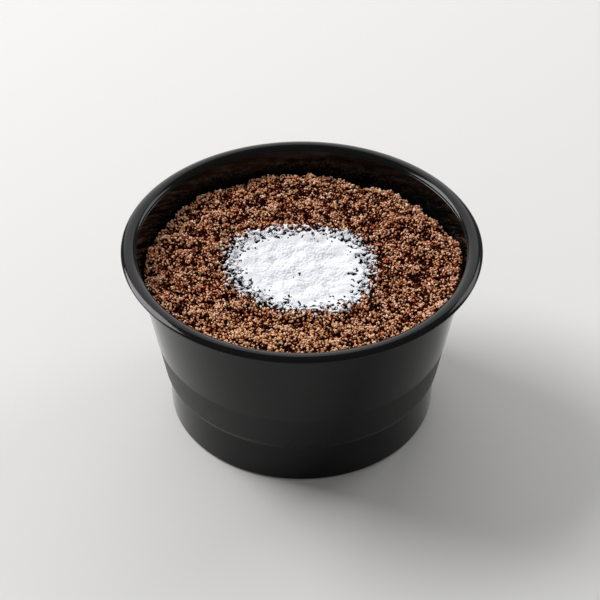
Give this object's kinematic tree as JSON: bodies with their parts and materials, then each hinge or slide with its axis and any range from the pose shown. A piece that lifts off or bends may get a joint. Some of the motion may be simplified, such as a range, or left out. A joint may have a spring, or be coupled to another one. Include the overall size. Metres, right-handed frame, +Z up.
{
  "type": "chocolate cheesecake in a cup",
  "caption": "Round plastic dessert cup filled with cheesecake, its top covered in chocolate cake crumbs with a patch of icing sugar in the middle.",
  "frame": {"origin": "centre of the cup's underside, on the surface that it stands on", "axes": "+Z up along the cup's axis, -Y towards the side that the picture shows as the front, +X to its right"},
  "size_m": [0.101, 0.101, 0.0554],
  "materials": {
    "cup_plastic": "smooth gloss black",
    "crumb": "dry matte cake crumbs",
    "icing_sugar": "fine matte powder"
  },
  "bodies": {
    "root": {"cup": "cup_plastic", "cheesecake": "crumb", "sugar": "icing_sugar"}
  },
  "joints": []
}
